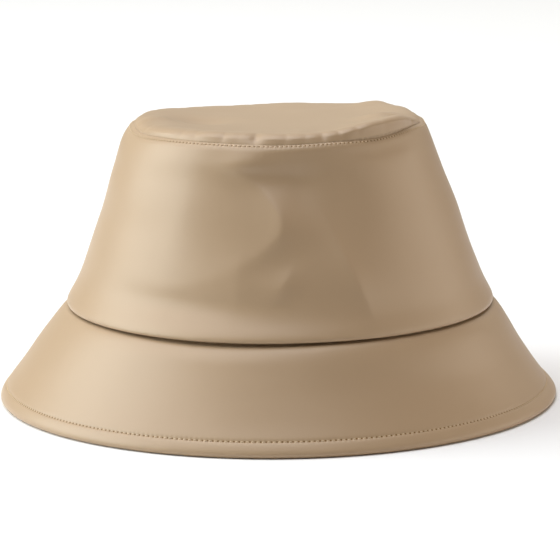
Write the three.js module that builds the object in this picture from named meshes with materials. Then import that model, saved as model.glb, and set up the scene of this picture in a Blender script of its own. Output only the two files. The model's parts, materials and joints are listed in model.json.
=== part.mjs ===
// A rain bucket hat of coated cloth, resting on its rim as it would by itself.
// It is sewn from three panels: a tip, a side wall whose lower fold hangs over the
// brim, and a brim. Each seam has its real allowance, turned in behind the wall.
//
// Units are millimetres, +Z is up, and the front of the hat looks along -Y. The
// origin is under the middle of the crown, on the surface that the rim rests on.

import * as THREE from 'three';

// Cloth and seams
const CROWN_CLOTH = 1.5;   // coated cloth with its seam tape
const BRIM_CLOTH = 2.2;    // two layers and a soft interlining
const SEAM_GAP = 0.3;      // kept between sewn panels
const CLOTH_COLOUR = '#b89b7b';

// Steps round the hat
const STEPS = 64;

// Outer face of the side wall, from the tip seam down. r is half the width from side
// to side, and z the height above the surface.
const WALL_ROWS = [
  { at: 'lip of the tip seam', r: 61.4, z: 119.2 },
  { at: 'topstitch', r: 63.5, z: 118.35 },
  { at: 'shoulder', r: 65.4, z: 116.1 },
  { at: 'shoulder', r: 67.1, z: 112.8 },
  { at: 'below the shoulder', r: 68.8, z: 108.0 },
  { at: 'upper wall', r: 71.0, z: 101.6 },
  { at: 'upper wall', r: 73.9, z: 93.8 },
  { at: 'middle', r: 77.3, z: 84.5 },
  { at: 'middle', r: 80.8, z: 74.5 },
  { at: 'lower wall', r: 84.3, z: 64.5 },
  { at: 'lower wall', r: 87.4, z: 55.5 },
  { at: 'flare', r: 89.7, z: 50.2 },
  { at: 'flare', r: 92.0, z: 46.2 },
];

// The fold at the wall's lower edge, round to its inner side.
const WALL_FOLD = [
  { at: 'outer', r: 93.1, z: 43.9 },
  { at: 'outer', r: 93.2, z: 43.0 },
  { at: 'outer', r: 92.9, z: 42.3 },
  { at: 'under', r: 92.2, z: 42.1 },
  { at: 'inner', r: 91.4, z: 42.5 },
  { at: 'inner', r: 91.0, z: 43.5 },
];

// Upper face of the tip, from its middle out to the seam. The layers of the seam fill
// the rows marked as filled, so the inner face leaves them out.
const TIP_ROWS = [
  { at: 'middle', r: 0.0, z: 120.2 },
  { at: 'inner field', r: 19.0, z: 120.3 },
  { at: 'outer field', r: 36.0, z: 120.8 },
  { at: 'outer field', r: 47.0, z: 121.6 },
  { at: 'crest of the puff', r: 54.0, z: 122.3 },
  { at: 'edge of the puff', r: 58.2, z: 122.2 },
  { at: 'edge of the puff', r: 60.7, z: 121.3 },
  { at: 'edge of the puff', r: 61.8, z: 120.4, filled: true },
  { at: 'foot of the puff', r: 61.9, z: 119.5, filled: true },
  { at: 'under the puff', r: 60.5, z: 119.6, filled: true },
  { at: 'seam', r: 60.2, z: 118.2 },
  { at: 'turn of the allowance', r: 60.5, z: 117.5 },
];
const TIP_ALLOWANCE_ROWS = 2;   // it follows this many rows of the wall below the lip

// Outer face of the brim, from the seam under the wall's fold down to the rim.
const BRIM_ROWS = [
  { at: 'seam', r: 90.5, z: 43.2 },
  { at: 'seam', r: 90.6, z: 42.1 },
  { at: 'turn out', r: 91.4, z: 41.4 },
  { at: 'turn out', r: 93.0, z: 41.2 },
  { at: 'turn out', r: 94.8, z: 40.0 },
  { at: 'slope', r: 96.9, z: 37.5 },
  { at: 'slope', r: 100.2, z: 33.0 },
  { at: 'slope', r: 106.5, z: 23.4 },
  { at: 'slope', r: 112.4, z: 14.6 },
  { at: 'hem stitch', r: 118.6, z: 6.5 },
  { at: 'hem', r: 120.8, z: 3.9 },
];
const BRIM_ALLOWANCE_ROWS = 2;  // it follows this many rows of the wall above the fold

// The rim's edge, with a flat underside to rest on.
const RIM_EDGE = [
  { at: 'edge', r: 121.8, z: 2.2 },
  { at: 'edge', r: 122.0, z: 1.0 },
  { at: 'underside', r: 121.5, z: 0.0 },
  { at: 'underside', r: 119.5, z: 0.0 },
];

// How the outline changes with height: length is the front-to-back length over the
// width, square is 2 for an ellipse and more for fuller corners, and lean moves the
// section along X.
const OUTLINE = [
  { z: 0, length: 1.118, square: 2.0, lean: -0.4 },
  { z: 8, length: 1.118, square: 2.0, lean: -1.2 },
  { z: 20, length: 1.12, square: 2.0, lean: -0.9 },
  { z: 41, length: 1.135, square: 2.05, lean: 0.6 },
  { z: 60, length: 1.135, square: 2.05, lean: 1.1 },
  { z: 80, length: 1.13, square: 2.05, lean: 0.9 },
  { z: 100, length: 1.13, square: 2.1, lean: -0.2 },
  { z: 112, length: 1.13, square: 2.1, lean: -0.5 },
  { z: 120, length: 1.135, square: 2.1, lean: 0.0 },
];

// Soft dents and folds of the wall and the brim. turn is in degrees from the front,
// positive to +X. slant moves a dent's middle by so many degrees for each millimetre up,
// and bend curves it. wide (degrees) and tall (millimetres) are how far it spreads, and
// deep is inwards. A row with a fold has a crest, which is rounded off over that share
// of its width.
const WALL_DENTS = [
  { at: 'roll over the front edge', turn: -2, z: 117.6, wide: 58, tall: 2.6, deep: -0.9 },
  { at: 'steep edge at the right', turn: 50, z: 116.5, wide: 22, tall: 4.5, deep: 1.2 },
  { at: 'full shoulder', turn: -33, z: 112.0, wide: 15, tall: 5.5, deep: -0.7 },
  { at: 'full shoulder', turn: -11, z: 112.5, wide: 8.5, tall: 3.8, deep: -1.9 },
  { at: 'hollow under the shoulder', turn: 5, z: 106, wide: 12, tall: 5.5, deep: 1.5 },
  { at: 'hollow under the shoulder', turn: 0, z: 102, wide: 16, tall: 9, deep: 1.2 },
  { at: 'fold left of the front', turn: -32, z: 88, slant: 0.1, wide: 11, tall: 24, deep: -1.1, fold: 0.45 },
  { at: 'crescent fold', turn: 1.0, z: 90, slant: -0.05, bend: -0.04, wide: 6.5,
    tall: 15, deep: -2.9, fold: 0.12 },
  { at: 'hollow beside the crescent', turn: 8.5, z: 99, wide: 6, tall: 9, deep: 1.0 },
  { at: 'hollow at the right', turn: 19, z: 96, wide: 11, tall: 18, deep: 2.2 },
  { at: 'low fold', turn: -12, z: 66, wide: 7, tall: 10, deep: -0.9, fold: 0.2 },
  { at: 'low bump', turn: 1, z: 65, slant: 0.45, wide: 4, tall: 6, deep: -1.5, fold: 0.2 },
  { at: 'slanting fold', turn: 20.7, z: 68, slant: -0.25, wide: 6, tall: 17, deep: -2.8, fold: 0.1 },
  { at: 'hollow above the flare', turn: -28, z: 55.5, wide: 21, tall: 5.0, deep: 1.4 },
  { at: 'flare at the front left', turn: -12, z: 42, wide: 34, tall: 6.5, deep: -1.5 },
  { at: 'soft swell of the brim', turn: -8, z: 25, wide: 14, tall: 12, deep: -0.7 },
  { at: 'hollow at the back', turn: 168, z: 84, slant: 0.2, wide: 22, tall: 20, deep: 1.6 },
  { at: 'fold at the back', turn: -150, z: 78, slant: -0.2, wide: 10, tall: 20, deep: -1.4, fold: 0.3 },
  { at: 'hollow on the right side', turn: 96, z: 70, slant: 0.3, wide: 14, tall: 16, deep: 0.9 },
  { at: 'hollow on the left side', turn: -98, z: 92, slant: -0.2, wide: 14, tall: 14, deep: 0.7 },
];

// Rises and dips of the tip, by their place in plan.
const TIP_SWELLS = [
  { at: 'puff at the back right', x: 45, y: 44, spread: 9, up: 1.7 },
  { at: 'swell at the right', x: 50, y: 24, spread: 12, up: 0.8 },
  { at: 'swell at the back', x: 6, y: 54, spread: 13, up: 0.7 },
  { at: 'dip at the back left', x: -30, y: 46, spread: 22, up: -1.2 },
  { at: 'dip at the left', x: -33, y: 2, spread: 12, up: -2.6 },
  { at: 'swell at the left end', x: -53, y: -10, spread: 9, up: 1.7 },
  { at: 'swell along the front', x: -8, y: -58, spread: 20, up: 0.6 },
  { at: 'swell behind the right puff', x: 40, y: -26, spread: 11, up: 1.4 },
  { at: 'swell before the right end', x: 44, y: -4, spread: 9, up: 2.2 },
  { at: 'fold at the right end', x: 50, y: -8, spread: 4, up: -1.0 },
  { at: 'fall of the right end', x: 59, y: -5, spread: 8, up: -1.0 },
];

// Where the seam round the tip stands higher or lower than an even one.
const EDGE_LIFTS = [
  { at: 'front left', turn: -27, wide: 25, up: 1.0 },
  { at: 'front right', turn: 22, wide: 20, up: 1.1 },
  { at: 'right', turn: 63, wide: 17, up: 1.2 },
  { at: 'right end', turn: 92, wide: 14, up: 0.5 },
  { at: 'left of the front', turn: -66, wide: 14, up: -1.0 },
  { at: 'left end', turn: -94, wide: 13, up: -0.2 },
];

// Where the tip's edge is fuller than elsewhere. over is how far its foot lies out over
// the seam.
const EDGE_PUFFS = [
  { at: 'right of the front', turn: 40, wide: 15, out: 1.9, up: 3.6, over: 0.0 },
  { at: 'right', turn: 58, wide: 12, out: 0.8, up: 2.0, over: 0.2 },
  { at: 'front', turn: -6, wide: 60, out: 0.8, up: 0.9, over: 0.9 },
  { at: 'right end', turn: 92, wide: 16, out: 0.0, up: -0.9, over: 0.0 },
  { at: 'left end', turn: -92, wide: 16, out: 0.0, up: -0.4, over: 0.0 },
];
// The foot goes down with the shoulder of the wall, by this share of how far it goes out.
const FOOT_SLOPE = 0.2;

// The crown's top slumps at the back and stands up at the sides. Both fade out down
// the wall.
const SLUMP = 3.0;
const SIDE_RISE = 1.3;
const SLUMP_FROM = 66;
const SLUMP_FULL = 120;
const HALF_TIP_LENGTH = 70;
const HALF_TIP_WIDTH = 62;

// The heights and half widths between which the forms above set in. Those of the edge
// leave the tip's field clear.
const SWELL_FROM = 112;
const SWELL_FULL = 119;
const LIFT_FROM = 104;
const LIFT_FULL = 118;
const PUFF_FROM = 119.6;
const PUFF_FULL = 120.4;
const FOOT_FROM = 61.0;
const FOOT_FULL = 61.8;
const ALLOWANCE_TOP = 118.0;
const FOOT_LOW = 118.9;
const FOOT_HIGH = 119.3;
const FOOT_TOP = 120.1;
const EDGE_FROM = 45;
const EDGE_FULL = 60;

const CLOTH_ROUGHNESS = 0.55;

const smooth = (value, from, to) => THREE.MathUtils.smoothstep(value, from, to);
const bell = (value) => Math.exp(-value * value);

// A named column of a table at a height, blended between its rows.
function blended(rows, column, z) {
  const last = rows.length - 1;
  if (z <= rows[0].z) return rows[0][column];
  if (z >= rows[last].z) return rows[last][column];
  const i = rows.findIndex((row, n) => n < last && z < rows[n + 1].z);
  const share = smooth(z, rows[i].z, rows[i + 1].z);
  return THREE.MathUtils.lerp(rows[i][column], rows[i + 1][column], share);
}

// Degrees from middle to turn, the short way round.
const apart = (turn, middle) => THREE.MathUtils.euclideanModulo(turn - middle + 180, 360) - 180;

// 1 at the middle, and falling on both sides from a rounded crest.
const crest = (value, sharp) => Math.exp(sharp - Math.hypot(value, sharp));

// How far inwards the wall is pushed at a turn and height.
function dentDepth(turn, z) {
  let depth = 0;
  for (const dent of WALL_DENTS) {
    const up = z - dent.z;
    const middle = dent.turn + (dent.slant ?? 0) * up + (dent.bend ?? 0) * up * up;
    const away = apart(turn, middle) / dent.wide;
    const across = dent.fold ? crest(away, dent.fold) : bell(away);
    depth += dent.deep * across * bell(up / dent.tall);
  }
  return depth;
}

// The sum of a table's bells at a turn.
function roundEdge(rows, column, turn) {
  return rows.reduce((sum, row) => sum + row[column] * bell(apart(turn, row.turn) / row.wide), 0);
}

// How far a point of the crown's top is lifted.
function tipLift(x, y, z) {
  let lift = 0;
  for (const swell of TIP_SWELLS) {
    lift += swell.up * bell(Math.hypot(x - swell.x, y - swell.y) / swell.spread);
  }
  return lift * smooth(z, SWELL_FROM, SWELL_FULL);
}

// Moves a point of the round, even hat to its place on the real one. Every panel
// goes through here, so panels that meet stay the same distance apart. Only the tip
// is puffed.
function settle(point, isTip) {
  let up = 0;
  const round = Math.hypot(point.x, point.y);
  if (round > 0) {
    const { z } = point;
    const cos = point.x / round;
    const sin = point.y / round;
    const turn = THREE.MathUtils.radToDeg(Math.atan2(cos, -sin));
    const edge = smooth(round, EDGE_FROM, EDGE_FULL);
    let out = -dentDepth(turn, z) * edge;
    up += roundEdge(EDGE_LIFTS, 'up', turn) * smooth(z, LIFT_FROM, LIFT_FULL) * edge;
    if (isTip) {
      const puffed = edge * smooth(z, PUFF_FROM, PUFF_FULL);
      const low = smooth(z, ALLOWANCE_TOP, FOOT_LOW) * (1 - smooth(z, FOOT_HIGH, FOOT_TOP));
      const foot = smooth(round, FOOT_FROM, FOOT_FULL) * low;
      const over = roundEdge(EDGE_PUFFS, 'over', turn) * foot;
      out += roundEdge(EDGE_PUFFS, 'out', turn) * puffed + over;
      up += roundEdge(EDGE_PUFFS, 'up', turn) * puffed - FOOT_SLOPE * over;
    }
    const square = blended(OUTLINE, 'square', z);
    const corner = Math.pow(Math.abs(cos) ** square + Math.abs(sin) ** square, -1 / square);
    const r = round * corner + out;
    point.x = r * cos + blended(OUTLINE, 'lean', z);
    point.y = r * sin * blended(OUTLINE, 'length', z);
  }
  const back = Math.max(0, point.y) / HALF_TIP_LENGTH;
  const side = point.x / HALF_TIP_WIDTH;
  const sag = SIDE_RISE * side * side - SLUMP * back * back;
  up += tipLift(point.x, point.y, point.z) + sag * smooth(point.z, SLUMP_FROM, SLUMP_FULL);
  point.z += up;
}

// A row moved inwards from its face by a depth, square to the rows beside it.
function inside(rows, i, depth) {
  const before = rows[Math.max(0, i - 1)];
  const after = rows[Math.min(rows.length - 1, i + 1)];
  const along = new THREE.Vector2(after.r - before.r, after.z - before.z).normalize();
  return { r: rows[i].r + along.y * depth, z: rows[i].z - along.x * depth };
}

// A panel: a closed profile turned round the hat and then settled into shape.
function panel(name, profile, isTip = false) {
  const points = profile.map((row) => new THREE.Vector2(Math.max(0, row.r), row.z));
  const geometry = new THREE.LatheGeometry(points.reverse(), STEPS);
  geometry.rotateX(Math.PI / 2);
  const position = geometry.attributes.position;
  const point = new THREE.Vector3();
  for (let i = 0; i < position.count; i += 1) {
    point.fromBufferAttribute(position, i);
    settle(point, isTip);
    position.setXYZ(i, point.x, point.y, point.z);
  }
  geometry.computeVertexNormals();
  const cloth = new THREE.MeshStandardMaterial({
    color: CLOTH_COLOUR,
    roughness: CLOTH_ROUGHNESS,
    metalness: 0,
  });
  const mesh = new THREE.Mesh(geometry, cloth);
  mesh.name = name;
  return mesh;
}

function tip() {
  const behindWall = CROWN_CLOTH + SEAM_GAP;
  const allowance = [];
  for (let i = 1; i <= TIP_ALLOWANCE_ROWS; i += 1) {
    allowance.push(inside(WALL_ROWS, i, behindWall));
  }
  const upper = [...TIP_ROWS, ...allowance];
  const lined = upper.filter((row) => !row.filled);
  const lower = lined.map((row, i) => inside(lined, i, CROWN_CLOTH));
  lower[0].r = 0;
  return panel('crown_tip', [...upper, ...lower.reverse()], true);
}

function wall() {
  const inner = WALL_ROWS.map((row, i) => inside(WALL_ROWS, i, CROWN_CLOTH)).reverse();
  const profile = [...WALL_ROWS, ...WALL_FOLD, ...inner];
  return panel('crown_wall', [...profile, profile[0]]);
}

function brim() {
  const behindWall = CROWN_CLOTH + SEAM_GAP;
  const allowance = [];
  for (let i = WALL_ROWS.length - BRIM_ALLOWANCE_ROWS; i < WALL_ROWS.length; i += 1) {
    allowance.push(inside(WALL_ROWS, i, behindWall));
  }
  const upper = [...allowance, ...BRIM_ROWS];
  const lower = upper.map((row, i) => inside(upper, i, BRIM_CLOTH)).reverse();
  const profile = [...upper, ...RIM_EDGE, ...lower];
  return panel('brim', [...profile, profile[0]]);
}

const hat = new THREE.Group();
hat.add(tip(), wall(), brim());

export default hat;
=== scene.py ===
"""A rain bucket hat of coated cloth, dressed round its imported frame.

The tip, the side wall and the brim are each a closed shell of cloth, turned from a
short table of rows and then settled into the slack shape of the real hat. Two lines
of stitching lie on them. The stage is a pale floor with soft studio light.
"""

import json
import math
import random

import bpy
import numpy as np
from mathutils import Matrix, Vector
from mathutils.bvhtree import BVHTree

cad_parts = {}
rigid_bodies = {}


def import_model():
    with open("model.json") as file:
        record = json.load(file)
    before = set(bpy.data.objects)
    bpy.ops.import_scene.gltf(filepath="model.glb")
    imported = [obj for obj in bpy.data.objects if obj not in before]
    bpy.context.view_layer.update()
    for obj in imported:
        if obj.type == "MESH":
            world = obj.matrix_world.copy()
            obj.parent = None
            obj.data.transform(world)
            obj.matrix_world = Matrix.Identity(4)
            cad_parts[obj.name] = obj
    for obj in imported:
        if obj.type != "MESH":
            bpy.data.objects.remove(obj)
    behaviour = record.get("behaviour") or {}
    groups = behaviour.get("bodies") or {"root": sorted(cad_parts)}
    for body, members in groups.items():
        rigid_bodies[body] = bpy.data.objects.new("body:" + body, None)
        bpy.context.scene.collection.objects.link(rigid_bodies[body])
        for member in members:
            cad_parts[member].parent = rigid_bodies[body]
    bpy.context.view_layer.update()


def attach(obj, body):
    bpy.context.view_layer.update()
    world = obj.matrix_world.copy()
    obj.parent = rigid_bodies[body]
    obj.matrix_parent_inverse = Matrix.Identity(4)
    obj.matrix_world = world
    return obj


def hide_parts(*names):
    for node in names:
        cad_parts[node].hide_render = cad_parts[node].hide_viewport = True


bl_info = {
    "name": "Rain Bucket Hat",
    "version": (1, 0, 0),
    "blender": (4, 5, 0),
    "location": "View3D > Sidebar > Rain Hat",
    "description": "Makes the cloth panels, stitching and stage of a rain bucket hat",
    "category": "Add Mesh",
}

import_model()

MM = 0.001

# Steps round the hat before the subdivision, which makes four of each.
STEPS = 144
SUBDIVISION_LEVELS = 2

# Outer face of the side wall, from the tip seam down, in millimetres. r is half the
# width from side to side, and z the height above the surface.
WALL_ROWS = [
    dict(at="lip of the tip seam", r=61.4, z=119.2),
    dict(at="strip above the stitches", r=62.7, z=118.8),
    dict(at="topstitch", r=64.0, z=117.9),
    dict(at="shoulder", r=65.4, z=116.1),
    dict(at="shoulder", r=67.1, z=112.8),
    dict(at="below the shoulder", r=68.8, z=108.0),
    dict(at="upper wall", r=71.0, z=101.6),
    dict(at="upper wall", r=73.9, z=93.8),
    dict(at="middle", r=77.3, z=84.5),
    dict(at="middle", r=80.8, z=74.5),
    dict(at="lower wall", r=84.3, z=64.5),
    dict(at="lower wall", r=87.4, z=55.5),
    dict(at="flare", r=89.7, z=50.2),
    dict(at="flare", r=92.0, z=46.2),
]

# The fold at the wall's lower edge, round to its inner side.
WALL_FOLD = [
    dict(at="outer", r=93.1, z=43.9),
    dict(at="outer", r=93.2, z=43.0),
    dict(at="outer", r=92.9, z=42.3),
    dict(at="under", r=92.2, z=42.1),
    dict(at="inner", r=91.4, z=42.5),
    dict(at="inner", r=91.0, z=43.5),
]

# Upper face of the tip, from its middle out to the seam.
TIP_ROWS = [
    dict(at="middle", r=3.0, z=120.2),
    dict(at="inner field", r=19.0, z=120.3),
    dict(at="outer field", r=36.0, z=120.8),
    dict(at="outer field", r=47.0, z=121.6),
    dict(at="crest of the puff", r=54.0, z=122.3),
    dict(at="edge of the puff", r=58.2, z=122.2),
    dict(at="edge of the puff", r=60.7, z=121.3),
    dict(at="edge of the puff", r=61.8, z=120.2),
    dict(at="foot of the puff", r=61.9, z=119.6),
    dict(at="foot of the puff", r=61.9, z=119.1),
    dict(at="seam", r=61.2, z=118.95),
    dict(at="seam", r=60.7, z=118.3),
    dict(at="turn of the allowance", r=60.7, z=117.6),
]
TIP_ALLOWANCE_ROWS = 2

# Outer face of the brim, from the seam under the wall's fold down to the rim.
BRIM_ROWS = [
    dict(at="seam", r=89.4, z=43.4),
    dict(at="seam", r=89.4, z=42.3),
    dict(at="turn out", r=90.2, z=41.6),
    dict(at="turn out", r=91.6, z=41.4),
    dict(at="turn out", r=93.0, z=41.2),
    dict(at="turn out", r=94.8, z=40.0),
    dict(at="slope", r=96.9, z=37.5),
    dict(at="slope", r=100.2, z=33.0),
    dict(at="slope", r=106.5, z=23.4),
    dict(at="slope", r=112.4, z=14.6),
    dict(at="above the hem", r=116.9, z=8.7),
    dict(at="above the hem", r=117.9, z=7.4),
    dict(at="hem stitch", r=118.25, z=6.4),
    dict(at="hem", r=118.95, z=6.1),
    dict(at="hem", r=119.8, z=5.3),
    dict(at="hem", r=121.0, z=3.7),
]
BRIM_ALLOWANCE_ROWS = 2

# The rim's edge and its underside.
RIM_EDGE = [
    dict(at="edge", r=121.7, z=2.5),
    dict(at="edge", r=121.9, z=1.5),
    dict(at="edge", r=121.4, z=0.6),
    dict(at="underside", r=120.4, z=0.05),
    dict(at="underside", r=119.2, z=0.0),
]

# How the outline changes with height: length is the front-to-back length over the
# width, square is 2 for an ellipse and more for fuller corners, and lean moves the
# section along X.
OUTLINE = [
    dict(z=0, length=1.118, square=2.0, lean=-0.4),
    dict(z=8, length=1.118, square=2.0, lean=-1.2),
    dict(z=20, length=1.12, square=2.0, lean=-0.9),
    dict(z=41, length=1.135, square=2.05, lean=0.6),
    dict(z=60, length=1.135, square=2.05, lean=1.1),
    dict(z=80, length=1.13, square=2.05, lean=0.9),
    dict(z=100, length=1.13, square=2.1, lean=-0.2),
    dict(z=112, length=1.13, square=2.1, lean=-0.5),
    dict(z=120, length=1.135, square=2.1, lean=0.0),
]

# Soft dents and folds of the wall and the brim. turn is in degrees from the front,
# positive to +X. slant moves a form's middle by so many degrees for each millimetre up,
# and bend by so many for each square of it. wide (degrees) and tall (millimetres) are how
# far it spreads, and deep is inwards. A fold has a crest as sharp as this share of its
# width, and a form without one is evenly rounded.
WALL_DENTS = [
    dict(at="roll over the front edge", turn=-2, z=117.6, wide=58, tall=2.6, deep=-0.9),
    dict(at="steep edge at the right", turn=50, z=116.5, wide=22, tall=4.5, deep=1.2),
    dict(at="full shoulder", turn=-33, z=112.0, wide=15, tall=5.5, deep=-0.7),
    dict(at="full shoulder", turn=-11, z=112.5, wide=8.5, tall=3.8, deep=-1.9),
    dict(at="hollow under the shoulder", turn=5, z=106, wide=12, tall=5.5, deep=1.5),
    dict(at="hollow under the shoulder", turn=0, z=102, wide=16, tall=9, deep=1.2),
    dict(at="fold left of the front", turn=-32, z=88, slant=0.1, wide=11, tall=24,
         deep=-1.1, fold=0.45),
    dict(at="crescent fold", turn=1.0, z=90, slant=-0.05, bend=-0.04, wide=6.5, tall=15,
         deep=-2.9, fold=0.12),
    dict(at="hollow beside the crescent", turn=8.5, z=99, wide=6, tall=9, deep=1.0),
    dict(at="hollow at the right", turn=19, z=96, wide=11, tall=18, deep=2.2),
    dict(at="low fold", turn=-12, z=66, wide=7, tall=10, deep=-0.9, fold=0.2),
    dict(at="low bump", turn=1, z=65, slant=0.45, wide=4, tall=6, deep=-1.5, fold=0.2),
    dict(at="slanting fold", turn=20.7, z=68, slant=-0.25, wide=6, tall=17, deep=-2.8, fold=0.1),
    dict(at="hollow above the flare", turn=-28, z=55.5, wide=21, tall=5.0, deep=1.4),
    dict(at="flare at the front left", turn=-12, z=42, wide=34, tall=6.5, deep=-1.5),
    dict(at="soft swell of the brim", turn=-8, z=25, wide=14, tall=12, deep=-0.7),
    dict(at="hollow at the back", turn=168, z=84, slant=0.2, wide=22, tall=20, deep=1.6),
    dict(at="fold at the back", turn=-150, z=78, slant=-0.2, wide=10, tall=20, deep=-1.4,
         fold=0.3),
    dict(at="hollow on the right side", turn=96, z=70, slant=0.3, wide=14, tall=16, deep=0.9),
    dict(at="hollow on the left side", turn=-98, z=92, slant=-0.2, wide=14, tall=14, deep=0.7),
]

# Rises and dips of the tip, by their place in plan.
TIP_SWELLS = [
    dict(at="puff at the back right", x=45, y=44, spread=9, up=1.7),
    dict(at="swell at the right", x=50, y=24, spread=12, up=0.8),
    dict(at="swell at the back", x=6, y=54, spread=13, up=0.7),
    dict(at="dip at the back left", x=-30, y=46, spread=22, up=-1.2),
    dict(at="dip at the left", x=-33, y=2, spread=12, up=-2.6),
    dict(at="swell at the left end", x=-53, y=-10, spread=9, up=1.7),
    dict(at="swell along the front", x=-8, y=-58, spread=20, up=0.6),
    dict(at="swell behind the right puff", x=40, y=-26, spread=11, up=1.4),
    dict(at="swell before the right end", x=44, y=-4, spread=9, up=2.2),
    dict(at="fold at the right end", x=50, y=-8, spread=4, up=-1.0),
    dict(at="fall of the right end", x=59, y=-5, spread=8, up=-1.0),
]

# Small chance unevenness of the tip, as of any slack cloth.
chance = random.Random(5)
for step in range(16):
    TIP_SWELLS.append(dict(x=chance.uniform(-50, 50), y=chance.uniform(-52, 52),
                           spread=chance.uniform(7, 13), up=chance.uniform(-0.55, 0.55)))

# Where the seam round the tip stands higher or lower than an even one.
EDGE_LIFTS = [
    dict(at="front left", turn=-27, wide=25, up=1.0),
    dict(at="front right", turn=22, wide=20, up=1.1),
    dict(at="right", turn=63, wide=17, up=1.2),
    dict(at="right end", turn=92, wide=14, up=0.5),
    dict(at="left of the front", turn=-66, wide=14, up=-1.0),
    dict(at="left end", turn=-94, wide=13, up=-0.2),
]

# Where the tip's edge is fuller than elsewhere. over is how far its foot lies out over
# the seam.
EDGE_PUFFS = [
    dict(at="right of the front", turn=41, wide=15, out=1.1, up=3.3, over=0.3),
    dict(at="right", turn=58, wide=12, out=0.8, up=2.0, over=0.2),
    dict(at="front", turn=-6, wide=60, out=0.8, up=0.9, over=0.9),
    dict(at="right end", turn=92, wide=16, out=0.0, up=-0.9, over=0.0),
    dict(at="left end", turn=-92, wide=16, out=0.0, up=-0.4, over=0.0),
]
# The foot goes down with the shoulder of the wall, by this share of how far it goes out.
FOOT_SLOPE = 0.9

# How far the brim falls away below and behind the wall's fold, where their seam stands
# open.
SEAM_OPENINGS = [
    dict(at="front left", turn=-18, wide=26, down=0.7, back=0.6),
    dict(at="back", turn=170, wide=40, down=0.3, back=0.3),
]

# Small gathers that draw the tip's edge in: the ones to be seen at the front, then
# others by chance round the sides and the back.
PUCKERS = [
    dict(turn=-40.0, wide=3.4, deep=0.5),
    dict(turn=-33.4, wide=2.4, deep=0.5),
    dict(turn=-21.3, wide=2.2, deep=0.7),
    dict(turn=-15.0, wide=3.0, deep=0.4),
    dict(turn=-8.8, wide=2.8, deep=1.8),
    dict(turn=3.5, wide=2.4, deep=0.5),
    dict(turn=11.0, wide=3.0, deep=0.5),
    dict(turn=18.0, wide=3.0, deep=1.1),
    dict(turn=25.0, wide=2.8, deep=0.9),
    dict(turn=33.0, wide=4.0, deep=0.9),
    dict(turn=46.0, wide=5.0, deep=0.6),
]
for step in range(30):
    PUCKERS.append(dict(turn=62 + 8 * step + chance.uniform(-3, 3), wide=chance.uniform(1.5, 3),
                        deep=chance.uniform(0.1, 0.5)))
PUCKER_FOLD = 0.15

# The crown's top slumps at the back and stands up at the sides. Both fade out down
# the wall.
SLUMP = 3.0
SIDE_RISE = 1.3
SLUMP_FROM = 66
SLUMP_FULL = 120
HALF_TIP_LENGTH = 70
HALF_TIP_WIDTH = 62

# The heights and half widths between which the forms above set in.
SWELL_FROM = 112
SWELL_FULL = 119
LIFT_FROM = 104
LIFT_FULL = 118
PUFF_FROM = 119.0
PUFF_FULL = 120.4
FOOT_FROM = 61.0
FOOT_FULL = 61.8
ALLOWANCE_TOP = 118.0
FOOT_LOW = 118.9
FOOT_HIGH = 119.3
FOOT_TOP = 120.1
EDGE_FROM = 45
EDGE_FULL = 60
OPEN_FROM = 34
OPEN_FULL = 41.2
OPEN_END = 42.0

# Both stitch lines, as a half width and height on the even cloth.
TOPSTITCH_AT = dict(r=64.0, z=117.9)
HEM_STITCH_AT = dict(r=118.3, z=6.35)
# At the front the topstitch runs nearer to the tip seam, by so much.
TOPSTITCH_SHIFT = dict(r=-0.6, z=0.4, wide=48)
# How far off the stitch line a piece without stitches says that it is.
NO_STITCH = 100.0

# A stitch: the hole between two of them in millimetres, then shares of the thread's
# thickness, which are half its height and how far its middle stands off the cloth.
HOLE_SIZE = 0.8
HALF_THREAD_HEIGHT = 0.4
THREAD_STAND_OFF = 0.2
# A stitch points from one of these places to the other, as shares of its length.
STITCH_START = 0.1
STITCH_END = 0.9

# Painted shade for the recess of a needle hole: how dark and how warm the cloth's colour is
# painted there, beside the cloth round it.
HOLE_PAINTED_SHADE_BRIGHTNESS = 0.38
HOLE_PAINTED_SHADE_SATURATION = 1.7

# Points nearer to each other than this are merged.
MERGE_DISTANCE = 0.01 * MM


def linear(value):
    """One sRGB channel, 0 to 1, as linear light."""
    return value / 12.92 if value <= 0.04045 else ((value + 0.055) / 1.055) ** 2.4


def colour(text):
    """An sRGB hex value as a linear RGBA colour."""
    return tuple(linear(int(text[i:i + 2], 16) / 255) for i in (1, 3, 5)) + (1.0,)


class HatSizes(bpy.types.PropertyGroup):
    """Sizes of the cloth and the stitching."""

    crown_cloth: bpy.props.FloatProperty(
        name="Crown cloth", description="Thickness of the cloth of the crown",
        default=1.5 * MM, min=1.0 * MM, max=3.0 * MM, unit="LENGTH", precision=4)
    brim_cloth: bpy.props.FloatProperty(
        name="Brim cloth", description="Thickness of the brim's layers together",
        default=2.2 * MM, min=1.0 * MM, max=4.0 * MM, unit="LENGTH", precision=4)
    seam_gap: bpy.props.FloatProperty(
        name="Seam gap", description="Space between panels at a seam",
        default=0.3 * MM, min=0.2 * MM, max=1.0 * MM, unit="LENGTH", precision=4)
    topstitch: bpy.props.FloatProperty(
        name="Topstitch", description="Length of a stitch below the tip seam",
        default=1.95 * MM, min=1.5 * MM, max=4.0 * MM, unit="LENGTH", precision=4)
    hem_stitch: bpy.props.FloatProperty(
        name="Hem stitch", description="Length of a stitch of the hem",
        default=2.2 * MM, min=1.5 * MM, max=4.0 * MM, unit="LENGTH", precision=4)
    thread: bpy.props.FloatProperty(
        name="Thread", description="Thickness of the sewing thread",
        default=0.5 * MM, min=0.2 * MM, max=1.0 * MM, unit="LENGTH", precision=4)


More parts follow.
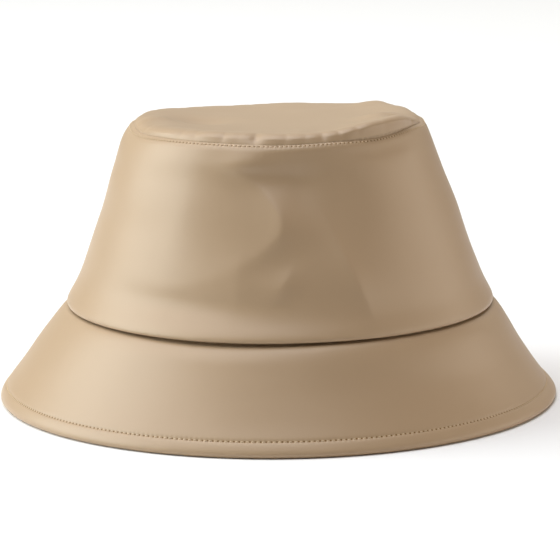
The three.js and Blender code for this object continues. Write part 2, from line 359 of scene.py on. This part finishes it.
class HatColours(bpy.types.PropertyGroup):
    """Colours of the cloth and the thread."""

    cloth: bpy.props.FloatVectorProperty(
        name="Cloth", description="Colour of the coated face",
        subtype="COLOR", size=4, min=0, max=1, default=colour("#B09576"))
    backing: bpy.props.FloatVectorProperty(
        name="Backing", description="Colour of the uncoated inner face",
        subtype="COLOR", size=4, min=0, max=1, default=colour("#B29A7E"))
    thread: bpy.props.FloatVectorProperty(
        name="Thread", description="Colour of the sewing thread",
        subtype="COLOR", size=4, min=0, max=1, default=colour("#CDB491"))


class StageSettings(bpy.types.PropertyGroup):
    """The camera and the lights."""

    distance: bpy.props.FloatProperty(
        name="Camera distance", description="From the camera to the hat",
        default=1.7, min=0.5, unit="LENGTH")
    elevation: bpy.props.FloatProperty(
        name="Camera elevation", description="How far the camera looks down",
        default=math.radians(10.0), subtype="ANGLE")
    roll: bpy.props.FloatProperty(
        name="Camera roll", description="How far the picture is turned",
        default=math.radians(-0.51), subtype="ANGLE")
    lens: bpy.props.FloatProperty(
        name="Lens", description="Focal length on a 36 mm sensor, in millimetres",
        default=249.5, min=10)
    floor: bpy.props.FloatVectorProperty(
        name="Floor", description="Colour of the floor",
        subtype="COLOR", size=4, min=0, max=1, default=colour("#F2F2F2"))


def smooth(value, low, high):
    """0 below low, 1 above high, and an even curve between them."""
    share = np.clip((value - low) / (high - low), 0.0, 1.0)
    return share * share * (3 - 2 * share)


def bell(value):
    return np.exp(-value * value)


def apart(turn, middle):
    """Degrees from middle to turn, the short way round."""
    return (turn - middle + 180) % 360 - 180


def blended(rows, column, z):
    """A named column of a table at each height, blended between its rows."""
    value = rows[0][column] + 0 * z
    for low, high in zip(rows, rows[1:]):
        value = value + (high[column] - low[column]) * smooth(z, low["z"], high["z"])
    return value


def crest(value, sharp):
    """1 at the middle, and falling on both sides from a crest that is rounded off over
    a share of the width."""
    return np.exp(sharp - np.sqrt(value * value + sharp * sharp))


def dent_depth(turn, z):
    """How far inwards the wall is pushed at a turn and height."""
    depth = 0 * z
    for dent in WALL_DENTS:
        up = z - dent["z"]
        middle = dent["turn"] + dent.get("slant", 0) * up + dent.get("bend", 0) * up * up
        away = apart(turn, middle) / dent["wide"]
        across = crest(away, dent["fold"]) if "fold" in dent else bell(away)
        depth += dent["deep"] * across * bell(up / dent["tall"])
    return depth


def tip_lift(x, y, z):
    """How far a point of the crown's top is lifted."""
    lift = 0 * z
    for swell in TIP_SWELLS:
        lift += swell["up"] * bell(np.hypot(x - swell["x"], y - swell["y"]) / swell["spread"])
    return lift * smooth(z, SWELL_FROM, SWELL_FULL)


def round_edge(rows, column, turn):
    """The sum of a table's bells at a turn."""
    return sum(row[column] * bell(apart(turn, row["turn"]) / row["wide"]) for row in rows)


def pucker_depth(turn):
    """How far the small gathers draw the tip's edge in."""
    depth = 0 * turn
    for pucker in PUCKERS:
        depth += pucker["deep"] * crest(apart(turn, pucker["turn"]) / pucker["wide"], PUCKER_FOLD)
    return depth


def settle(points, is_tip=False):
    """Moves points of the round, even hat to their places on the real one."""
    x, y, z = points.T
    around = np.hypot(x, y)
    far = np.maximum(around, 0.001)
    cos, sin = x / far, y / far
    turn = np.degrees(np.arctan2(cos, -sin))
    edge = smooth(around, EDGE_FROM, EDGE_FULL)
    out = -dent_depth(turn, z) * edge
    up = round_edge(EDGE_LIFTS, "up", turn) * smooth(z, LIFT_FROM, LIFT_FULL) * edge
    if is_tip:
        puffed = edge * smooth(z, PUFF_FROM, PUFF_FULL)
        low = smooth(z, ALLOWANCE_TOP, FOOT_LOW) * (1 - smooth(z, FOOT_HIGH, FOOT_TOP))
        foot = smooth(around, FOOT_FROM, FOOT_FULL) * low
        over = round_edge(EDGE_PUFFS, "over", turn) * foot
        drawn = pucker_depth(turn) * puffed
        out += round_edge(EDGE_PUFFS, "out", turn) * puffed + over - drawn
        up += (round_edge(EDGE_PUFFS, "up", turn) - drawn / 2) * puffed
        up -= FOOT_SLOPE * over
    open_seam = smooth(z, OPEN_FROM, OPEN_FULL) * (1 - smooth(z, OPEN_FULL, OPEN_END))
    out -= round_edge(SEAM_OPENINGS, "back", turn) * open_seam
    up -= round_edge(SEAM_OPENINGS, "down", turn) * open_seam
    square = blended(OUTLINE, "square", z)
    corner = (np.abs(cos) ** square + np.abs(sin) ** square) ** (-1 / square)
    r = around * corner + out
    x = r * cos + blended(OUTLINE, "lean", z)
    y = r * sin * blended(OUTLINE, "length", z)
    back = np.maximum(0.0, y) / HALF_TIP_LENGTH
    side = x / HALF_TIP_WIDTH
    sag = SIDE_RISE * side * side - SLUMP * back * back
    up += tip_lift(x, y, z) + sag * smooth(z, SLUMP_FROM, SLUMP_FULL)
    return np.stack((x, y, z + up), axis=1)


def inside(rows, i, depth):
    """A row moved inwards from its face by a depth, square to the rows beside it."""
    before = rows[max(0, i - 1)]
    after = rows[min(len(rows) - 1, i + 1)]
    along = Vector((after["r"] - before["r"], after["z"] - before["z"])).normalized()
    return dict(at="inner face", r=rows[i]["r"] + along.y * depth,
                z=rows[i]["z"] - along.x * depth)


def node(tree, kind, settings=None, sources=None):
    """Adds a node. settings are its properties or input values, and sources the
    outputs that feed its inputs."""
    made = tree.nodes.new(kind)
    for key, value in (settings or {}).items():
        if isinstance(key, str) and hasattr(made, key):
            setattr(made, key, value)
        else:
            made.inputs[key].default_value = value
    for key, source in (sources or {}).items():
        tree.links.new(source, made.inputs[key])
    return made


def new_material(name):
    """An empty node material with its output."""
    made = bpy.data.materials.new(name)
    made.use_nodes = True
    made.node_tree.nodes.clear()
    return made, made.node_tree


def stitch_marks(tree):
    """Where the needle holes are and how the thread draws the cloth in, as outputs
    from 0 to 1. The map "stitch" counts stitches along the line and across it."""
    place = node(tree, "ShaderNodeUVMap", {"uv_map": "stitch"})
    split = node(tree, "ShaderNodeSeparateXYZ", None, {0: place.outputs["UV"]})
    shifted = node(tree, "ShaderNodeMath", {"operation": "ADD", 1: 0.5}, {0: split.outputs["X"]})
    share = node(tree, "ShaderNodeMath", {"operation": "FRACT"}, {0: shifted.outputs["Value"]})
    along = node(tree, "ShaderNodeMath", {"operation": "SUBTRACT", 1: 0.5},
                 {0: share.outputs["Value"]})
    both = node(tree, "ShaderNodeCombineXYZ", None,
                {"X": along.outputs["Value"], "Y": split.outputs["Y"]})
    away = node(tree, "ShaderNodeVectorMath", {"operation": "LENGTH"}, {0: both.outputs["Vector"]})
    hole = node(tree, "ShaderNodeMapRange",
                {"interpolation_type": "SMOOTHSTEP", "From Min": 0.12, "From Max": 0.26,
                 "To Min": 1.0, "To Max": 0.0}, {"Value": away.outputs["Value"]})
    angle = node(tree, "ShaderNodeMath", {"operation": "MULTIPLY", 1: 2 * math.pi},
                 {0: along.outputs["Value"]})
    wave = node(tree, "ShaderNodeMath", {"operation": "COSINE"}, {0: angle.outputs["Value"]})
    near = node(tree, "ShaderNodeMapRange",
                {"interpolation_type": "SMOOTHSTEP", "From Min": 0.0, "From Max": 1.3,
                 "To Min": 1.0, "To Max": 0.0}, {"Value": split.outputs["Y"]})
    pull = node(tree, "ShaderNodeMath", {"operation": "MULTIPLY"},
                {0: wave.outputs["Value"], 1: near.outputs["Result"]})
    return hole.outputs["Result"], pull.outputs["Value"]


def coated_cloth(colours):
    """Woven polyester with a thin matt polyurethane film, as rainwear is. The film
    hides the weave, so the eye sees a smooth skin with a soft, broad sheen and a very
    fine grain. Along the stitches it shows needle holes, sunk by a bump and darkened
    with painted shade, and small pulls."""
    made, tree = new_material("coated polyester cloth")
    place = node(tree, "ShaderNodeTexCoord")
    # The film's grain is about 0.3 mm, drawn at 0.8 mm so that it shows.
    grain = node(tree, "ShaderNodeTexNoise", {"Scale": 1250.0, "Detail": 2.0},
                 {"Vector": place.outputs["Object"]})
    # Slow unevenness of the cloth under the film, 25 mm from hollow to hollow.
    cockle = node(tree, "ShaderNodeTexNoise", {"Scale": 40.0, "Detail": 2.0},
                  {"Vector": place.outputs["Object"]})
    hole, pull = stitch_marks(tree)
    tint = node(tree, "ShaderNodeMapRange", {"To Min": 0.985, "To Max": 1.015},
                {"Value": cockle.outputs["Fac"]})
    # Painted shade: in each needle hole the cloth's colour is made darker and warmer, standing in
    # for the shade inside the hole.
    painted_hole_shade = node(tree, "ShaderNodeMapRange", {"To Min": 1.0, "To Max": HOLE_PAINTED_SHADE_BRIGHTNESS},
                {"Value": hole})
    value = node(tree, "ShaderNodeMath", {"operation": "MULTIPLY"},
                 {0: tint.outputs["Result"], 1: painted_hole_shade.outputs["Result"]})
    painted_hole_warmth = node(tree, "ShaderNodeMapRange", {"To Min": 1.0, "To Max": HOLE_PAINTED_SHADE_SATURATION},
                  {"Value": hole})
    shade = node(tree, "ShaderNodeHueSaturation", {"Color": tuple(colours.cloth)},
                 {"Value": value.outputs["Value"], "Saturation": painted_hole_warmth.outputs["Result"]})
    fine = node(tree, "ShaderNodeBump", {"Strength": 0.10, "Distance": 0.0002},
                {"Height": grain.outputs["Fac"]})
    slow = node(tree, "ShaderNodeBump", {"Strength": 0.25, "Distance": 0.0008},
                {"Height": cockle.outputs["Fac"], "Normal": fine.outputs["Normal"]})
    sunk = node(tree, "ShaderNodeBump", {"Strength": 0.5, "Distance": 0.0002, "invert": True},
                {"Height": hole, "Normal": slow.outputs["Normal"]})
    drawn = node(tree, "ShaderNodeBump", {"Strength": 0.3, "Distance": 0.0001, "invert": True},
                 {"Height": pull, "Normal": sunk.outputs["Normal"]})
    shader = node(tree, "ShaderNodeBsdfPrincipled",
                  {"Roughness": 0.42, "IOR": 1.53, "Sheen Weight": 0.05, "Sheen Roughness": 0.5},
                  {"Base Color": shade.outputs["Color"], "Normal": drawn.outputs["Normal"]})
    node(tree, "ShaderNodeOutputMaterial", None, {"Surface": shader.outputs["BSDF"]})
    return made


def backing_cloth(colours):
    """The uncoated inner face of the same polyester: a plain weave, matt and a little
    fuzzy."""
    made, tree = new_material("polyester plain weave backing")
    place = node(tree, "ShaderNodeUVMap", {"uv_map": "cloth"})
    # Threads 0.35 mm apart, drawn at 0.9 mm so that they show. The map is in metres.
    warp = node(tree, "ShaderNodeTexWave",
                {"Scale": 175.0, "wave_type": "BANDS", "bands_direction": "X"},
                {"Vector": place.outputs["UV"]})
    weft = node(tree, "ShaderNodeTexWave",
                {"Scale": 175.0, "wave_type": "BANDS", "bands_direction": "Y"},
                {"Vector": place.outputs["UV"]})
    both = node(tree, "ShaderNodeMath", {"operation": "MULTIPLY"},
                {0: warp.outputs["Fac"], 1: weft.outputs["Fac"]})
    tint = node(tree, "ShaderNodeMapRange", {"To Min": 0.88, "To Max": 1.04},
                {"Value": both.outputs["Value"]})
    shade = node(tree, "ShaderNodeHueSaturation", {"Color": tuple(colours.backing)},
                 {"Value": tint.outputs["Result"]})
    relief = node(tree, "ShaderNodeBump", {"Strength": 0.4, "Distance": 0.0003},
                  {"Height": both.outputs["Value"]})
    shader = node(tree, "ShaderNodeBsdfPrincipled",
                  {"Roughness": 0.85, "IOR": 1.45, "Sheen Weight": 0.25},
                  {"Base Color": shade.outputs["Color"], "Normal": relief.outputs["Normal"]})
    node(tree, "ShaderNodeOutputMaterial", None, {"Surface": shader.outputs["BSDF"]})
    return made


def sewing_thread(colours):
    """Spun polyester sewing thread: two plies twisted together, soft and matt."""
    made, tree = new_material("spun polyester thread")
    place = node(tree, "ShaderNodeTexCoord")
    ply = node(tree, "ShaderNodeTexNoise", {"Scale": 2500.0, "Detail": 1.0},
               {"Vector": place.outputs["Object"]})
    tint = node(tree, "ShaderNodeMapRange", {"To Min": 0.9, "To Max": 1.08},
                {"Value": ply.outputs["Fac"]})
    shade = node(tree, "ShaderNodeHueSaturation", {"Color": tuple(colours.thread)},
                 {"Value": tint.outputs["Result"]})
    shader = node(tree, "ShaderNodeBsdfPrincipled",
                  {"Roughness": 0.7, "IOR": 1.5, "Sheen Weight": 0.3},
                  {"Base Color": shade.outputs["Color"]})
    node(tree, "ShaderNodeOutputMaterial", None, {"Surface": shader.outputs["BSDF"]})
    return made


def studio_paper(stage):
    """Seamless white paper, matt."""
    made, tree = new_material("white studio paper")
    shader = node(tree, "ShaderNodeBsdfPrincipled",
                  {"Base Color": tuple(stage.floor), "Roughness": 0.9, "Specular IOR Level": 0.2})
    node(tree, "ShaderNodeOutputMaterial", None, {"Surface": shader.outputs["BSDF"]})
    return made


def material(name, maker, settings):
    """A material made once and then shared."""
    return bpy.data.materials.get(name) or maker(settings)


def turned_shell(name, rows):
    """A closed shell of cloth: a circle extruded from row to row in edit mode. The
    rows run down the outer face and back up the inner one."""
    bpy.ops.object.select_all(action="DESELECT")
    first = rows[0]
    bpy.ops.mesh.primitive_circle_add(vertices=STEPS, radius=first["r"] * MM)
    piece = bpy.context.object
    piece.name = piece.data.name = name
    bpy.ops.object.mode_set(mode="EDIT")
    bpy.ops.mesh.select_all(action="SELECT")
    bpy.ops.transform.translate(value=(0, 0, first["z"] * MM))
    for before, after in zip(rows, rows[1:]):
        bpy.ops.mesh.extrude_edges_move(
            TRANSFORM_OT_translate={"value": (0, 0, (after["z"] - before["z"]) * MM)})
        grow = after["r"] / before["r"]
        bpy.ops.transform.resize(value=(grow, grow, 1), center_override=(0, 0, 0))
    bpy.ops.object.mode_set(mode="OBJECT")
    return piece


def close_shell(piece, poles):
    """Joins the last row to the first, or fills both as poles, and points the faces
    outwards."""
    bpy.ops.object.mode_set(mode="EDIT")
    if poles:
        bpy.ops.mesh.select_all(action="DESELECT")
        bpy.ops.mesh.select_non_manifold(extend=False)
        bpy.ops.mesh.edge_face_add()
        bpy.ops.mesh.poke()
    bpy.ops.mesh.select_all(action="SELECT")
    bpy.ops.mesh.remove_doubles(threshold=MERGE_DISTANCE)
    bpy.ops.mesh.normals_make_consistent(inside=False)
    bpy.ops.object.mode_set(mode="OBJECT")


def apply_subdivision(piece):
    smoother = piece.modifiers.new("smooth", "SUBSURF")
    smoother.levels = smoother.render_levels = SUBDIVISION_LEVELS
    bpy.ops.object.modifier_apply(modifier=smoother.name)


def read_points(piece):
    """A mesh's vertices in millimetres, a row for each."""
    flat = np.empty(3 * len(piece.data.vertices))
    piece.data.vertices.foreach_get("co", flat)
    return flat.reshape(-1, 3) / MM


def write_points(piece, points):
    piece.data.vertices.foreach_set("co", (points * MM).ravel())
    piece.data.update()


def turns_of(points):
    """Degrees from the front, positive to +X."""
    return np.degrees(np.arctan2(points[:, 0], -points[:, 1]))


def add_map(piece, name, u, v, full_turn=0.0):
    """Gives a piece a UV map from a value of u and v at each vertex. full_turn is how
    much u grows in one turn, so that the faces across the back join end to end."""
    corners = np.empty(len(piece.data.loops), dtype=np.int32)
    piece.data.loops.foreach_get("vertex_index", corners)
    u, v = u[corners].reshape(-1, 4), v[corners]
    if full_turn:
        behind = u < u.max(axis=1, keepdims=True) - full_turn / 2
        u = u + full_turn * behind
    layer = piece.data.uv_layers.new(name=name)
    layer.data.foreach_set("uv", np.stack((u.ravel(), v), axis=1).ravel())


class StitchLine:
    """A line of stitches round the hat, at its place on the even cloth."""

    SAMPLES = 1440

    def __init__(self, at, pitch, shift=None):
        self.at = at
        self.shift = shift
        turn = np.linspace(-180, 180, self.SAMPLES + 1)
        r, z = self.profile(turn)
        side = np.radians(turn)
        even = np.stack((r * np.sin(side), -r * np.cos(side), z), axis=1)
        self.turn = turn
        self.points = settle(even)
        steps = np.linalg.norm(np.diff(self.points, axis=0), axis=1)
        self.length = np.concatenate(([0.0], np.cumsum(steps)))
        self.count = round(self.length[-1] / pitch)
        self.pitch = self.length[-1] / self.count

    def profile(self, turn):
        """The line's half width and height at each turn."""
        share = bell(turn / self.shift["wide"]) if self.shift else 0 * turn
        move = self.shift or dict(r=0, z=0)
        return self.at["r"] + move["r"] * share, self.at["z"] + move["z"] * share

    def number(self, turn):
        """How many stitches lie between the back and a turn."""
        return np.interp(turn, self.turn, self.length) / self.pitch

    def place(self, number):
        """The point so many stitches round from the back."""
        length = (number % self.count) * self.pitch
        return Vector([np.interp(length, self.length, self.points[:, axis]) for axis in range(3)])


def dress(context, piece, even, line, flat=False):
    """Gives a settled piece its UV maps. even holds its points before they settled,
    and line the stitches that go through it, if any."""
    turn = turns_of(even)
    around = np.hypot(even[:, 0], even[:, 1])
    if flat:
        add_map(piece, "cloth", even[:, 0] * MM, even[:, 1] * MM)
    else:
        girth = 2 * math.pi * around.mean() * MM
        add_map(piece, "cloth", turn / 360 * girth, (around - even[:, 2]) * MM, girth)
    if line is None:
        add_map(piece, "stitch", 0 * turn, 0 * turn + NO_STITCH)
    else:
        r, z = line.profile(turn)
        away = np.hypot(around - r, even[:, 2] - z) / line.pitch
        add_map(piece, "stitch", line.number(turn), away, line.count)
    piece.data.materials.append(
        material("coated polyester cloth", coated_cloth, context.scene.hat_colours))
    bpy.ops.object.shade_smooth()


def back_inner_faces(context, piece, inner):
    """Gives the faces marked in inner the look of the uncoated back."""
    piece.data.materials.append(
        material("polyester plain weave backing", backing_cloth, context.scene.hat_colours))
    piece.data.polygons.foreach_set("material_index", inner.astype(np.int32))


def face_values(piece, name):
    flat = np.empty(3 * len(piece.data.polygons))
    piece.data.polygons.foreach_get(name, flat)
    return flat.reshape(-1, 3)


class HAT_OT_wall(bpy.types.Operator):
    """Make the side wall of the crown"""

    bl_idname = "rainhat.wall"
    bl_label = "Side wall"
    bl_options = {"REGISTER", "UNDO"}

    def execute(self, context):
        sizes = context.scene.hat_sizes
        depth = sizes.crown_cloth / MM
        inner = [inside(WALL_ROWS, i, depth) for i in range(len(WALL_ROWS))]
        rows = WALL_ROWS + WALL_FOLD + inner[::-1] + WALL_ROWS[:1]
        piece = turned_shell("crown_wall_cloth", rows)
        close_shell(piece, poles=False)
        apply_subdivision(piece)
        middle, normal = face_values(piece, "center"), face_values(piece, "normal")
        inward = (middle[:, :2] * normal[:, :2]).sum(axis=1) < 0
        even = read_points(piece)
        write_points(piece, settle(even))
        topstitch = StitchLine(TOPSTITCH_AT, sizes.topstitch / MM, TOPSTITCH_SHIFT)
        dress(context, piece, even, topstitch)
        back_inner_faces(context, piece, inward & (middle[:, 2] > WALL_FOLD[0]["z"] * MM))
        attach(piece, "root")
        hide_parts("crown_wall")
        return {"FINISHED"}


class HAT_OT_tip(bpy.types.Operator):
    """Make the tip of the crown"""

    bl_idname = "rainhat.tip"
    bl_label = "Tip"
    bl_options = {"REGISTER", "UNDO"}

    def execute(self, context):
        sizes = context.scene.hat_sizes
        depth = sizes.crown_cloth / MM
        behind = depth + sizes.seam_gap / MM
        allowance = [inside(WALL_ROWS, i, behind) for i in range(1, TIP_ALLOWANCE_ROWS + 1)]
        upper = TIP_ROWS + allowance
        # The layers of the seam fill the puff's foot, which has no inner face.
        lined = [row for row in upper if row["at"] != "foot of the puff"]
        lower = [inside(lined, i, depth) for i in range(len(lined))]
        lower[0]["r"] = upper[0]["r"]
        piece = turned_shell("crown_tip_cloth", upper + lower[::-1])
        close_shell(piece, poles=True)
        apply_subdivision(piece)
        middle, normal = face_values(piece, "center"), face_values(piece, "normal")
        even = read_points(piece)
        write_points(piece, settle(even, is_tip=True))
        dress(context, piece, even, None, flat=True)
        downward = normal[:, 2] < 0
        back_inner_faces(context, piece, downward & (middle[:, 2] < TIP_ROWS[0]["z"] * MM))
        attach(piece, "root")
        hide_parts("crown_tip")
        return {"FINISHED"}


class HAT_OT_brim(bpy.types.Operator):
    """Make the brim with its hem"""

    bl_idname = "rainhat.brim"
    bl_label = "Brim"
    bl_options = {"REGISTER", "UNDO"}

    def execute(self, context):
        sizes = context.scene.hat_sizes
        depth = sizes.brim_cloth / MM
        behind = (sizes.crown_cloth + sizes.seam_gap) / MM
        last = len(WALL_ROWS)
        allowance = [inside(WALL_ROWS, i, behind) for i in range(last - BRIM_ALLOWANCE_ROWS, last)]
        upper = allowance + BRIM_ROWS
        lower = [inside(upper, i, depth) for i in range(len(upper))]
        rows = upper + RIM_EDGE + lower[::-1] + upper[:1]
        piece = turned_shell("brim_cloth", rows)
        close_shell(piece, poles=False)
        apply_subdivision(piece)
        even = read_points(piece)
        write_points(piece, settle(even))
        dress(context, piece, even, StitchLine(HEM_STITCH_AT, sizes.hem_stitch / MM))
        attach(piece, "root")
        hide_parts("brim")
        return {"FINISHED"}


def one_stitch(sizes, pitch):
    """One stitch between two needle holes: a short length of thread along X, with its
    ends pulled down into the cloth."""
    half = (pitch - HOLE_SIZE) / 2 * MM
    bpy.ops.object.select_all(action="DESELECT")
    bpy.ops.mesh.primitive_uv_sphere_add(
        segments=8, ring_count=5, radius=1, rotation=(0, math.pi / 2, 0),
        scale=(sizes.thread * HALF_THREAD_HEIGHT, sizes.thread / 2, half))
    bpy.ops.object.transform_apply(rotation=True, scale=True)
    stitch = bpy.context.object
    for vertex in stitch.data.vertices:
        share = vertex.co.x / half
        vertex.co.z -= sizes.thread / 2 * share * share
    bpy.ops.object.shade_smooth()
    return stitch


def sew(context, name, cloth, line):
    """Copies one stitch along a line on a finished piece of cloth."""
    sizes = context.scene.hat_sizes
    faces = [tuple(face.vertices) for face in cloth.data.polygons]
    skin = BVHTree.FromPolygons([vertex.co for vertex in cloth.data.vertices], faces)
    model = one_stitch(sizes, line.pitch)
    copies = []
    for number in range(line.count):
        place, normal, _, _ = skin.find_nearest(line.place(number + 0.5) * MM)
        along = line.place(number + STITCH_END) - line.place(number + STITCH_START)
        along = along.normalized()
        across = normal.cross(along).normalized()
        up = along.cross(across)
        turn = Matrix((along, across, up)).transposed().to_4x4()
        mesh = model.data.copy()
        mesh.transform(Matrix.Translation(place + up * sizes.thread * THREAD_STAND_OFF) @ turn)
        copy = bpy.data.objects.new(name, mesh)
        context.collection.objects.link(copy)
        copies.append(copy)
    bpy.data.objects.remove(model)
    bpy.ops.object.select_all(action="DESELECT")
    for copy in copies:
        copy.select_set(True)
    context.view_layer.objects.active = copies[0]
    bpy.ops.object.join()
    piece = context.object
    piece.name = piece.data.name = name
    piece.data.materials.append(
        material("spun polyester thread", sewing_thread, context.scene.hat_colours))
    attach(piece, "root")


class HAT_OT_stitches(bpy.types.Operator):
    """Sew the topstitching below the tip seam and the hem's stitch line"""

    bl_idname = "rainhat.stitches"
    bl_label = "Stitches"
    bl_options = {"REGISTER", "UNDO"}

    def execute(self, context):
        sizes = context.scene.hat_sizes
        objects = context.scene.objects
        topstitch = StitchLine(TOPSTITCH_AT, sizes.topstitch / MM, TOPSTITCH_SHIFT)
        sew(context, "tip_topstitch", objects["crown_wall_cloth"], topstitch)
        hem = StitchLine(HEM_STITCH_AT, sizes.hem_stitch / MM)
        sew(context, "hem_stitch", objects["brim_cloth"], hem)
        return {"FINISHED"}


# The camera looks at this point.
LOOK_AT = Vector((0.62, 0.0, 50.07)) * MM

# Softboxes, with their places and sides in metres. Each looks at aim, and glow is its
# brightness, where 1 shows as white. The one behind only whitens the paper.
LIGHTS = [
    dict(name="key", place=(-1.55, 0.09, 0.72), aim=(0, 0.09, 0.06), width=1.85, height=1.1,
         glow=4.35, tint="#F7FFFD"),
    dict(name="overhead", place=(-0.9, 0.3, 2.4), aim=(-0.7, 0.3, 0), width=3.0, height=3.2,
         glow=2.95, tint="#FCFCFF"),
    dict(name="back", place=(0.2, 1.9, 0.9), aim=(0, 0, 0.1), width=3.0, height=1.4,
         glow=0.47, tint="#FFFBE8"),
    dict(name="fill", place=(1.6, -0.1, 0.42), aim=(0, -0.1, 0.06), width=2.6, height=0.7,
         glow=2.2, tint="#FFF2E0"),
    dict(name="behind", place=(0.5, 1.8, 0.9), aim=(0.5, 1.8, 0), width=1.4, height=0.9,
         glow=0.45, tint="#FFFFFF"),
]
FLOOR_SIDE = 30.0
WORLD_STRENGTH = 0.01


class HAT_OT_stage(bpy.types.Operator):
    """Make the floor, the lights and the camera"""

    bl_idname = "rainhat.stage"
    bl_label = "Stage"
    bl_options = {"REGISTER", "UNDO"}

    def execute(self, context):
        stage = context.scene.hat_stage
        bpy.ops.object.select_all(action="DESELECT")
        bpy.ops.mesh.primitive_plane_add(size=FLOOR_SIDE)
        floor = context.object
        floor.name = "floor"
        floor.data.materials.append(material("white studio paper", studio_paper, stage))

        for light in LIGHTS:
            lamp = bpy.data.lights.new(light["name"], "AREA")
            lamp.shape = "RECTANGLE"
            lamp.size, lamp.size_y = light["width"], light["height"]
            lamp.color = colour(light["tint"])[:3]
            lamp.energy = light["glow"] * math.pi * light["width"] * light["height"]
            box = bpy.data.objects.new(light["name"], lamp)
            context.collection.objects.link(box)
            box.location = light["place"]
            aim = Vector(light["aim"]) - box.location
            box.rotation_euler = aim.to_track_quat("-Z", "Y").to_euler()

        world = bpy.data.worlds.new("white room")
        world.use_nodes = True
        world.node_tree.nodes["Background"].inputs["Color"].default_value = (1, 1, 1, 1)
        world.node_tree.nodes["Background"].inputs["Strength"].default_value = WORLD_STRENGTH
        context.scene.world = world

        lens = bpy.data.cameras.new("camera")
        lens.lens = stage.lens
        lens.sensor_width = 36.0
        eye = bpy.data.objects.new("camera", lens)
        context.collection.objects.link(eye)
        back = Vector((0, -math.cos(stage.elevation), math.sin(stage.elevation)))
        aim = (-back).to_track_quat("-Z", "Y").to_matrix().to_4x4()
        turn = Matrix.Rotation(stage.roll, 4, "Z")
        eye.matrix_world = Matrix.Translation(LOOK_AT + back * stage.distance) @ aim @ turn
        context.scene.camera = eye
        context.scene.view_settings.view_transform = "Standard"
        return {"FINISHED"}


class HAT_PT_panel(bpy.types.Panel):
    """Buttons for the pieces of the hat"""

    bl_idname = "HAT_PT_panel"
    bl_label = "Rain Bucket Hat"
    bl_space_type = "VIEW_3D"
    bl_region_type = "UI"
    bl_category = "Rain Hat"

    def draw(self, context):
        for group in (context.scene.hat_sizes, context.scene.hat_colours, context.scene.hat_stage):
            box = self.layout.box()
            for name in group.__annotations__:
                box.prop(group, name)
        for step in STEPS_IN_ORDER:
            self.layout.operator(step.bl_idname)


STEPS_IN_ORDER = (HAT_OT_stage, HAT_OT_wall, HAT_OT_tip, HAT_OT_brim, HAT_OT_stitches)
CLASSES = (HatSizes, HatColours, StageSettings) + STEPS_IN_ORDER + (HAT_PT_panel,)


def register():
    for kind in CLASSES:
        bpy.utils.register_class(kind)
    bpy.types.Scene.hat_sizes = bpy.props.PointerProperty(type=HatSizes)
    bpy.types.Scene.hat_colours = bpy.props.PointerProperty(type=HatColours)
    bpy.types.Scene.hat_stage = bpy.props.PointerProperty(type=StageSettings)


def unregister():
    del bpy.types.Scene.hat_stage
    del bpy.types.Scene.hat_colours
    del bpy.types.Scene.hat_sizes
    for kind in reversed(CLASSES):
        bpy.utils.unregister_class(kind)


def main():
    register()
    bpy.ops.rainhat.stage()
    bpy.ops.rainhat.wall()
    bpy.ops.rainhat.tip()
    bpy.ops.rainhat.brim()
    bpy.ops.rainhat.stitches()


if __name__ == "__main__":
    main()
